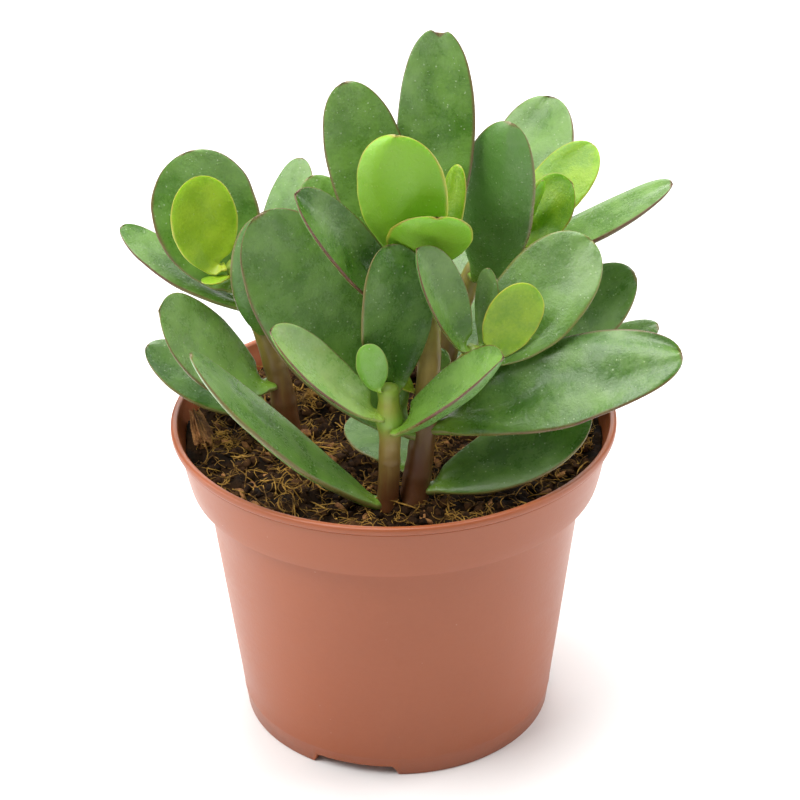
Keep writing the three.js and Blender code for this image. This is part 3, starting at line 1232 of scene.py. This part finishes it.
@dataclass(frozen=True)
class Pot:
    """A round moulded nursery pot with a stepped collar, three foot slots and drain holes."""

    rim_radius: float = 60.0
    height: float = 88.6
    lip_height: float = 2.2
    lip_width: float = 2.0
    lip_overhang: float = 1.5
    collar_height: float = 17.3
    collar_foot_radius: float = 55.5
    shoulder_radius: float = 51.3
    foot_radius: float = 42.6
    wall: float = 1.2
    foot_wall: float = 1.8
    floor_underside: float = 3.2
    slot_height: float = 3.0
    slot_angle: float = 31.0
    first_slot: float = -106.5
    slot_count: int = 3
    drain_count: int = 6
    drain_radius: float = 4.0
    drain_ring: float = 30.0
    sides: int = 288

    @property
    def collar_foot(self) -> float:
        """Height of the step under the collar."""
        return self.height - self.collar_height

    @property
    def floor_top(self) -> float:
        """Height of the inside floor."""
        return self.floor_underside + self.wall

    def body_radius(self, z: float) -> float:
        """Return the outside radius of the tapering body."""
        return lerp(self.foot_radius, self.shoulder_radius, z / self.collar_foot)

    def inner_radius(self, z: float) -> float:
        """Return the inside radius of the collar at a height."""
        step, lip = self.collar_foot, self.height - self.lip_height
        top = self.rim_radius - self.lip_overhang
        return lerp(self.collar_foot_radius, top, clamp((z - step) / (lip - step))) - self.wall

    def profile(self) -> list[tuple[float, float]]:
        """Return the wall's section: radius and height, up the outside and down the inside."""
        step, lip = self.collar_foot, self.height - self.lip_height
        foot, shoulder, collar = self.foot_radius, self.shoulder_radius, self.collar_foot_radius
        collar_top = self.rim_radius - self.lip_overhang
        foot_inner, body, wall = foot - self.foot_wall, self.body_radius, self.wall
        outside = [(foot_inner, self.floor_underside), (foot_inner, 0.4), (foot_inner + 0.3, 0.0)]
        outside += [(foot - 0.35, 0.0), (foot, 0.35), (body(5.6), 5.6), (body(5.9) + 0.1, 5.9)]
        outside += [(body(6.3) + 0.02, 6.3)]
        outside += [(body(z), z) for z in range(12, int(step), 8)]
        outside += [(shoulder, step - 0.7), (shoulder + 0.25, step - 0.15), (shoulder + 0.7, step)]
        outside += [(collar - 0.6, step + 0.25), (collar - 0.1, step + 0.55)]
        outside += [(collar + 0.12, step + 1.2)]
        for k in range(1, 6):
            z = lerp(step + 1.2, lip - 0.9, k / 5)
            outside.append((lerp(collar, collar_top, (z - step) / (lip - step)), z))
        outside += [(collar_top + 0.35, lip - 0.45), (self.rim_radius - 0.35, lip - 0.1)]
        middle = self.height - self.lip_height / 2
        half, bulge = self.lip_height / 2, self.lip_width / 2
        centre = self.rim_radius - bulge
        arc = []
        for k in range(13):
            angle = math.radians(lerp(-62, 180, k / 12))
            across = signed_power(math.cos(angle), 0.7)
            up = signed_power(math.sin(angle), 0.7)
            arc.append((centre + bulge * across, middle + half * up))
        inside = [(collar_top - wall, lip - 0.8), (collar - wall, step + wall + 0.9)]
        inside += [(collar - wall - 0.6, step + wall + 0.3), (shoulder - wall, step + wall - 0.3)]
        inside += [(body(self.floor_top) - wall, self.floor_top)]
        return outside + arc + inside

    def slot_share(self, angle: float) -> float:
        """Return 1 inside a foot slot, 0 away from it and a steep ramp at its ends."""
        best = 0.0
        for k in range(self.slot_count):
            middle = self.first_slot + k * 360 / self.slot_count
            off = abs((math.degrees(angle) - middle + 180) % 360 - 180)
            half = self.slot_angle / 2
            best = max(best, 1 - smoothstep(off, half - 0.9, half + 0.9))
        return best

    def build(self) -> Piece:
        """Make the pot as one closed shell and drill its drain holes.

        Returns:
            The pot's object.
        """
        profile = self.profile()
        rings = []
        for radius, z in profile:
            row = []
            for side in range(self.sides):
                angle = side * math.tau / self.sides
                height, reach = z, radius
                if z < self.slot_height:
                    height = max(z, self.slot_height * self.slot_share(angle))
                    reach += (height - z) * 0.12 * (radius > self.foot_radius - 1)
                row.append(Vector((reach * math.cos(angle), reach * math.sin(angle), height)))
            rings.append(row)
        bottom = Vector((0, 0, self.floor_underside))
        top = Vector((0, 0, self.floor_top))
        shell = new_object("pot_blank", skin_mesh("pot_blank", rings, bottom, top))
        pot = joined("pot_shell", shell, self.drill(), "DIFFERENCE")
        pot.data.set_sharp_from_angle(angle=math.radians(38))
        return pot

    def drill(self) -> Piece:
        """Make the rods that the drain holes are cut with."""
        made = bmesh.new()
        for hole in range(self.drain_count):
            angle = hole * math.tau / self.drain_count
            place = Vector((math.cos(angle), math.sin(angle), 0)) * self.drain_ring
            place.z = self.floor_top - 0.6
            bmesh.ops.create_cone(
                made,
                cap_ends=True,
                segments=40,
                radius1=self.drain_radius * MM,
                radius2=self.drain_radius * MM,
                depth=4 * MM,
                matrix=Matrix.Translation(place * MM),
            )
        return new_object("drain_rods", stored("drain_rods", made))

    def dress(self, piece: Piece, material: Material) -> Piece:
        """Give the pot its plastic and tie it to the frame."""
        dress(piece, material)
        return settle(piece, "pot_plastic", "pot")


# --------------------------------------------------------------------------- soil


@dataclass(frozen=True)
class Scatter:
    """Small shapes strewn over a surface by a geometry-node tree."""

    name: str
    density: float
    smallest: float
    largest: float
    seed: int
    lift: float

    def tree(self) -> bpy.types.NodeTree:
        """Make the node tree.

        Returns:
            A tree with inputs Density, Seed, Smallest, Largest, Lift, Shapes and Skin.
        """
        tree = bpy.data.node_groups.new(self.name, "GeometryNodeTree")
        kinds = {
            "Geometry": "Geometry",
            "Density": "Float",
            "Seed": "Int",
            "Smallest": "Float",
            "Largest": "Float",
            "Lift": "Float",
            "Shapes": "Collection",
            "Skin": "Material",
        }
        for key, kind in kinds.items():
            tree.interface.new_socket(key, in_out="INPUT", socket_type=f"NodeSocket{kind}")
        tree.interface.new_socket("Geometry", in_out="OUTPUT", socket_type="NodeSocketGeometry")
        given = tree.nodes.new("NodeGroupInput").outputs

        def add(kind: str, feeds: dict[str | int, object]) -> bpy.types.Node:
            """Add a node and feed its inputs with sockets or values."""
            made = tree.nodes.new(kind)
            for key, value in feeds.items():
                if isinstance(value, Socket):
                    tree.links.new(value, made.inputs[key])
                else:
                    made.inputs[key].default_value = value
            return made

        seed = {"Seed": given["Seed"]}
        area = {"Mesh": given["Geometry"], "Density": given["Density"]}
        strew = add("GeometryNodeDistributePointsOnFaces", area | seed)
        picks = {"Separate Children": True, "Reset Children": True}
        shapes = add("GeometryNodeCollectionInfo", picks | {"Collection": given["Shapes"]})
        bounds = {2: given["Smallest"], 3: given["Largest"]}
        size = add("FunctionNodeRandomValue", bounds | seed)
        tilts = {0: (-0.35, -0.35, 0.0), 1: (0.35, 0.35, math.tau)}
        spin = add("FunctionNodeRandomValue", tilts | seed)
        spin.data_type = "FLOAT_VECTOR"
        turned = {"Rotation": strew.outputs["Rotation"], "Rotate By": spin.outputs[0]}
        turn = add("FunctionNodeRotateRotation", turned)
        turn.rotation_space = "LOCAL"
        lift = add("ShaderNodeCombineXYZ", {"Z": given["Lift"]})
        raised = {"Geometry": strew.outputs["Points"], "Offset": lift.outputs[0]}
        instances = {
            "Points": add("GeometryNodeSetPosition", raised).outputs[0],
            "Instance": shapes.outputs[0],
            "Pick Instance": True,
            "Rotation": turn.outputs[0],
            "Scale": size.outputs[1],
        }
        place = add("GeometryNodeInstanceOnPoints", instances)
        real = add("GeometryNodeRealizeInstances", {0: place.outputs[0]})
        dressed = {"Geometry": real.outputs[0], "Material": given["Skin"]}
        skin = add("GeometryNodeSetMaterial", dressed)
        add("NodeGroupOutput", {"Geometry": skin.outputs[0]})
        return tree

    def strewn(
        self,
        name: str,
        ground: Mesh,
        shapes: bpy.types.Collection,
        skin: Material,
    ) -> Piece:
        """Strew the shapes over a surface.

        Args:
            name: The piece's name.
            ground: The surface.
            shapes: The collection that the shapes are picked from.
            skin: Their material.

        Returns:
            The strewn shapes as one plain mesh.
        """
        holder = new_object(f"{name}_ground", ground.copy())
        modifier = holder.modifiers.new(self.name, "NODES")
        tree = self.tree()
        values = {
            "Density": self.density,
            "Seed": self.seed,
            "Smallest": self.smallest,
            "Largest": self.largest,
            "Lift": self.lift * MM,
            "Shapes": shapes,
            "Skin": skin,
        }
        keys = {item.name: item.identifier for item in tree.interface.items_tree}
        modifier.node_group = tree
        for key, value in values.items():
            modifier[keys[key]] = value
        piece = plain_copy(name, holder)
        piece.data.polygons.foreach_set("use_smooth", [True] * len(piece.data.polygons))
        return piece


def hidden_shapes(name: str, meshes: Iterable[Mesh]) -> bpy.types.Collection:
    """Gather shapes in a collection that isn't itself in the scene."""
    shapes = bpy.data.collections.new(name)
    for i, mesh in enumerate(meshes):
        shapes.objects.link(bpy.data.objects.new(f"{name}_{i}", mesh))
    return shapes


def drop_shapes(shapes: bpy.types.Collection) -> None:
    """Remove a collection of shapes that have been strewn."""
    for shape in list(shapes.objects):
        bpy.data.objects.remove(shape)
    bpy.data.collections.remove(shapes)


@dataclass(frozen=True)
class SoilBed:
    """Peat with coir: a rough bed, loose crumbs, a chip of bark and many fibres.

    A heap gives its middle's x and y, its spread and its rise. The chip is placed by its
    middle and half sizes, and turned by its lean and twist in degrees. Loose stuff keeps
    the margin from the bed's edge and the gap from the wall.
    """

    level: float = 82.0
    bump: float = 1.1
    radius: float = 56.2
    rings: int = 110
    sides: int = 240
    fibre_kinds: int = 18
    crumb_kinds: int = 12
    seed: int = 11
    heaps: tuple[tuple[float, float, float, float], ...] = (
        (-24.0, 16.0, 4.5, 3.2),
        (-46.0, -4.0, 4.0, 1.8),
        (49.0, -9.0, 4.0, 1.8),
        (12.0, 38.0, 6.0, 1.6),
    )
    chip_place: Triple = (-51.8, -1.5, 85.2)
    chip_size: Triple = (3.2, 6.0, 1.2)
    chip_turn: tuple[float, float] = (48.0, 24.0)
    margin: float = 1.2
    wall_gap: float = 0.5
    clods: float = 2.1

    def height(self, x: float, y: float) -> float:
        """Return the bed's height over a point."""
        wave = math.sin(x * 0.21 + 1.3) * math.cos(y * 0.17 - 0.4)
        wave += 0.6 * math.sin(x * 0.47 - y * 0.39)
        clods = noise.fractal(Vector((x, y, 3)) * 0.24, 0.8, 2.1, 5)
        heap = sum(
            rise * math.exp(-((x - hx) ** 2 + (y - hy) ** 2) / (2 * spread**2))
            for hx, hy, spread, rise in self.heaps
        )
        return self.level + self.bump * wave + self.clods * clods + heap

    def top_rings(self) -> list[list[Vector]]:
        """Return the surface's rings from the middle out to the wall."""
        rings = []
        for ring in range(1, self.rings + 1):
            radius = self.radius * (ring / self.rings)
            row = []
            for side in range(self.sides):
                angle = side * math.tau / self.sides
                x, y = radius * math.cos(angle), radius * math.sin(angle)
                row.append(Vector((x, y, self.height(x, y))))
            rings.append(row)
        return rings

    def build(self, pot: Pot) -> Piece:
        """Make the bed, which fills the pot down to its floor.

        Args:
            pot: The pot around it.

        Returns:
            The bed's object.
        """
        rings = self.top_rings()
        step = pot.collar_foot + pot.wall
        below = [
            (pot.collar_foot_radius - pot.wall + 0.5, self.level - 3),
            (pot.collar_foot_radius - pot.wall - 0.6, step + 0.6),
            (pot.shoulder_radius - pot.wall - GAP, step),
            (pot.body_radius(pot.floor_top) - pot.wall - 0.6, pot.floor_top + GAP),
            (20.0, pot.floor_top + GAP),
        ]
        for radius, z in below:
            turn = math.tau / self.sides
            spots = [(math.cos(k * turn), math.sin(k * turn)) for k in range(self.sides)]
            rings.append([Vector((radius * x, radius * y, z)) for x, y in spots])
        start = Vector((0, 0, self.height(0, 0)))
        end = Vector((0, 0, pot.floor_top + GAP))
        return new_object("soil_bed", outside_out(skin_mesh("soil_bed", rings, start, end)))

    def add_patch(
        self, made: bmesh.types.BMesh, middle: tuple[float, float], reach: float, count: int
    ) -> None:
        """Add a round patch of the bed's surface to a working mesh.

        Args:
            made: The working mesh.
            middle: The patch's middle, seen from above.
            reach: Its radius.
            count: How many squares it is across.
        """
        grid: dict[tuple[int, int], bmesh.types.BMVert] = {}
        for i in range(count + 1):
            for k in range(count + 1):
                across = lerp(-1, 1, i / count) * reach
                along = lerp(-1, 1, k / count) * reach
                if math.hypot(across, along) <= reach:
                    x, y = middle[0] + across, middle[1] + along
                    grid[i, k] = made.verts.new(Vector((x, y, self.height(x, y))) * MM)
        for i, k in grid:
            corners = [(i, k), (i + 1, k), (i + 1, k + 1), (i, k + 1)]
            if all(corner in grid for corner in corners):
                made.faces.new([grid[corner] for corner in corners])

    def ground(self) -> Mesh:
        """Make the open surface that crumbs and fibres are strewn on."""
        made = bmesh.new()
        self.add_patch(made, (0.0, 0.0), self.radius - self.margin, 56)
        return stored("soil_ground", made)

    def tufts(self) -> Mesh:
        """Make the small patches, on the heaps, where coir lies thickly."""
        made = bmesh.new()
        for x, y, spread, _ in self.heaps:
            self.add_patch(made, (x, y), spread * 1.1, 12)
        return stored("soil_tufts", made)

    def bark_chip(self, skin: Material) -> Piece:
        """Make the splintered chip of bark that leans on the wall.

        Args:
            skin: Its material.

        Returns:
            The chip.
        """
        made = bmesh.new()
        bmesh.ops.create_cube(made, size=2.0)
        bmesh.ops.subdivide_edges(made, edges=made.edges, cuts=14, use_grid_fill=True)
        lean, twist = (math.radians(angle) for angle in self.chip_turn)
        turn = Matrix.Rotation(lean, 3, "Y") @ Matrix.Rotation(twist, 3, "Z")
        place, size = Vector(self.chip_place), Vector(self.chip_size)
        for vert in made.verts:
            x, y, z = vert.co
            splinter = noise.noise(Vector((x * 4.6, y * 0.6, z * 4.6 + 9)))
            ragged = noise.noise(Vector((x * 3.4, 2.0, z * 3.4)))
            narrow = 1 - 0.35 * smoothstep(y, -0.2, 1.0)
            swell = (1 + 0.4 * splinter) * narrow
            shape = Vector((x * swell, y * (1 + 0.45 * ragged), z * swell))
            vert.co = (place + turn @ (shape * size)) * MM
        piece = new_object("soil_bark_chip", stored("soil_bark_chip", made))
        dress(piece, skin)
        return piece

    def fibre(self, kind: int) -> Mesh:
        """Make one bent fibre, as a thin four-sided tube.

        Args:
            kind: Which of the fibre shapes.

        Returns:
            The fibre's mesh, about 10 mm long.
        """
        pick = random.Random(self.seed * 100 + kind)
        length = pick.uniform(3.5, 11)
        radius = pick.uniform(0.07, 0.24)
        heading, climb = 0.0, pick.uniform(-0.1, 0.35)
        bend, drift = pick.uniform(-0.28, 0.28), pick.uniform(-0.2, 0.02)
        points = [Vector((-length / 2, 0, 0))]
        steps = 11
        for _ in range(steps):
            way = Vector((math.cos(heading), math.sin(heading), climb)).normalized()
            points.append(points[-1] + way * length / steps)
            heading += bend + pick.uniform(-0.25, 0.25)
            climb += drift * 0.5 + pick.uniform(-0.08, 0.08)
        rings = []
        for i, point in enumerate(points):
            way = (points[min(i + 1, steps)] - points[max(i - 1, 0)]).normalized()
            side = way.cross(Vector((0, 0, 1))).normalized()
            up = side.cross(way)
            thin = radius * (1 - 0.6 * abs(i / steps - 0.45))
            reach, lift = side * thin, up * thin
            rings.append([point + reach, point + lift, point - reach, point - lift])
        return outside_out(skin_mesh(f"fibre_{kind}", rings, points[0], points[-1]))

    def crumb(self, kind: int, stretch: float = 1.0) -> Mesh:
        """Make one uneven crumb.

        Args:
            kind: Which of the crumb shapes.
            stretch: How much longer than wide it is.

        Returns:
            The crumb's mesh, about 2 mm across.
        """
        made = bmesh.new()
        bmesh.ops.create_icosphere(made, subdivisions=2, radius=1.0)
        offset = Vector((kind * 5.3, kind * 1.7, self.seed))
        for vert in made.verts:
            swell = 1 + 0.55 * noise.noise(vert.co * 1.3 + offset)
            place = vert.co * swell
            vert.co = Vector((place.x * stretch, place.y, place.z * 0.7)) * MM
        return stored(f"crumb_{kind}", made)

    def litter(
        self, pot: Pot, skins: dict[Earth, Material]
    ) -> list[Piece]:
        """Strew crumbs, chips and fibres over the bed.

        Args:
            pot: The pot around the bed.
            skins: The material of each loose stuff.

        Returns:
            The strewn pieces.
        """
        ground, tufts = self.ground(), self.tufts()
        crumbs = hidden_shapes("crumb", [self.crumb(k) for k in range(self.crumb_kinds)])
        chips = hidden_shapes("chip", [self.crumb(50 + k, 2.4) for k in range(6)])
        fibres = hidden_shapes("fibre", [self.fibre(k) for k in range(self.fibre_kinds)])
        plans = [
            ("soil_crumbs", ground, crumbs, Earth.CRUMB, (1.3e5, 0.35, 1.6, 3, 0.2)),
            ("soil_chips", ground, chips, Earth.BARK, (7.0e3, 0.5, 1.1, 5, 0.4)),
            ("soil_fibres", ground, fibres, Earth.FIBRE, (2.2e5, 0.35, 1.15, 8, 0.9)),
            ("soil_coir_tufts", tufts, fibres, Earth.FIBRE, (1.4e6, 0.3, 0.8, 21, 1.0)),
        ]
        pieces = [
            Scatter(f"strew_{name}", *numbers).strewn(name, under, shapes, skins[stuff])
            for name, under, shapes, stuff, numbers in plans
        ]
        pieces.append(self.bark_chip(skins[Earth.BARK]))
        for shapes in (crumbs, chips, fibres):
            drop_shapes(shapes)
        for piece in pieces:
            self.hold_inside(piece.data, pot)
        return pieces

    def hold_inside(self, mesh: Mesh, pot: Pot) -> None:
        """Push loose stuff that reaches the wall back inside it.

        Args:
            mesh: The loose stuff.
            pot: The pot around it.
        """
        for vert in mesh.vertices:
            spread = math.hypot(vert.co.x, vert.co.y)
            limit = pot.inner_radius(vert.co.z / MM) * MM - self.wall_gap * MM
            if spread > limit:
                vert.co.x *= limit / spread
                vert.co.y *= limit / spread


# --------------------------------------------------------------------------- studio


@dataclass(frozen=True)
class Studio:
    """A plain pale floor, soft lights and the camera.

    A lamp gives its name, its place and its power in watts, its side and its tint. The
    camera's right, up and ahead are unit vectors.
    """

    focal_length: float = 111.375
    sensor: float = 36.0
    place: Triple = (0.0, -0.5843422, 0.4097216)
    right: Triple = (0.99988854, -0.00936544, -0.01162757)
    up: Triple = (0.01468674, 0.47690379, 0.87883279)
    ahead: Triple = (0.00268542, 0.87890561, -0.47698818)
    world_strength: float = 0.33
    lamps: Sequence[tuple[str, Triple, float, float, Colour]] = (
        ("top_light", (-0.04, 0.12, 1.0), 12.5, 0.75, (1.0, 0.99, 0.97)),
        ("key_light", (-0.5, -0.38, 0.85), 4.5, 0.4, (1.0, 0.99, 0.97)),
        ("left_light", (-0.85, 0.1, 0.45), 5.0, 0.6, (1.0, 1.0, 1.0)),
        ("right_light", (0.85, 0.15, 0.45), 5.5, 0.6, (1.0, 1.0, 1.0)),
        ("back_light", (0.0, 0.95, 0.55), 4.0, 0.7, (1.0, 1.0, 1.0)),
    )

    def floor(self, material: Material) -> Piece:
        """Lay the floor.

        Args:
            material: Its finish.

        Returns:
            The floor, staged.
        """
        made = bmesh.new()
        bmesh.ops.create_grid(made, x_segments=8, y_segments=8, size=4.0)
        floor = new_object("floor", stored("floor", made))
        dress(floor, material)
        return floor

    def camera(self) -> Piece:
        """Set the camera and make it the scene's."""
        lens = bpy.data.cameras.new("camera")
        lens.lens = self.focal_length
        lens.sensor_width = self.sensor
        lens.clip_start = 0.01
        holder = bpy.data.objects.new("camera", lens)
        bpy.context.scene.collection.objects.link(holder)
        columns = Matrix((self.right, self.up, [-part for part in self.ahead])).transposed()
        holder.matrix_world = Matrix.Translation(self.place) @ columns.to_4x4()
        bpy.context.scene.camera = holder
        return holder

    def lamp(self, name: str, place: Triple, power: float, width: float, tint: Colour) -> None:
        """Hang a square soft light that faces the plant.

        Args:
            name: The light's name.
            place: Where it hangs, in metres.
            power: Its power in watts.
            width: Its side in metres.
            tint: Its colour.
        """
        light = bpy.data.lights.new(name, "AREA")
        light.energy = power
        light.shape = "SQUARE"
        light.size = width
        light.color = tint
        holder = bpy.data.objects.new(name, light)
        bpy.context.scene.collection.objects.link(holder)
        facing = (Vector((0, 0, 0.1)) - Vector(place)).to_track_quat("-Z", "Y")
        holder.matrix_world = Matrix.Translation(place) @ facing.to_matrix().to_4x4()

    def build(self, floor_skin: Material) -> None:
        """Set the world, lights, floor and camera.

        Args:
            floor_skin: The floor's finish.
        """
        scene = bpy.context.scene
        scene.view_settings.view_transform = "Standard"
        world = bpy.data.worlds.new("studio")
        scene.world = world
        world.use_nodes = True
        sky = world.node_tree.nodes["Background"]
        sky.inputs["Color"].default_value = (1.0, 1.0, 1.0, 1.0)
        sky.inputs["Strength"].default_value = self.world_strength
        for lamp in self.lamps:
            self.lamp(*lamp)
        self.floor(floor_skin)
        self.camera()


# --------------------------------------------------------------------------- assembly


def main() -> None:
    """Build and dress the plant, piece by piece."""
    logging.basicConfig(level=logging.INFO, format="%(message)s")
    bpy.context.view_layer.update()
    effects = Effects.made()
    leaf_skins = {age: age.value.material(effects) for age in LeafAge}
    earth_skins = {stuff: stuff.value.material(effects) for stuff in Earth}
    stem_skin = StemFinish().material(effects)

    pot = Pot()
    pot.dress(pot.build(), PotFinish().material(effects))

    bed = SoilBed()
    soil = bed.build(pot)
    dress(soil, earth_skins[Earth.PEAT])
    settle(soil, "coir_soil", "soil")
    for litter in bed.litter(pot, earth_skins):
        settle(litter, "coir_soil")

    for cutting in (front_cutting(), main_cutting(), back_cutting(), left_cutting()):
        cutting.build(leaf_skins, stem_skin)

    Studio().build(FloorFinish().material(effects))


if __name__ == "__main__":
    main()
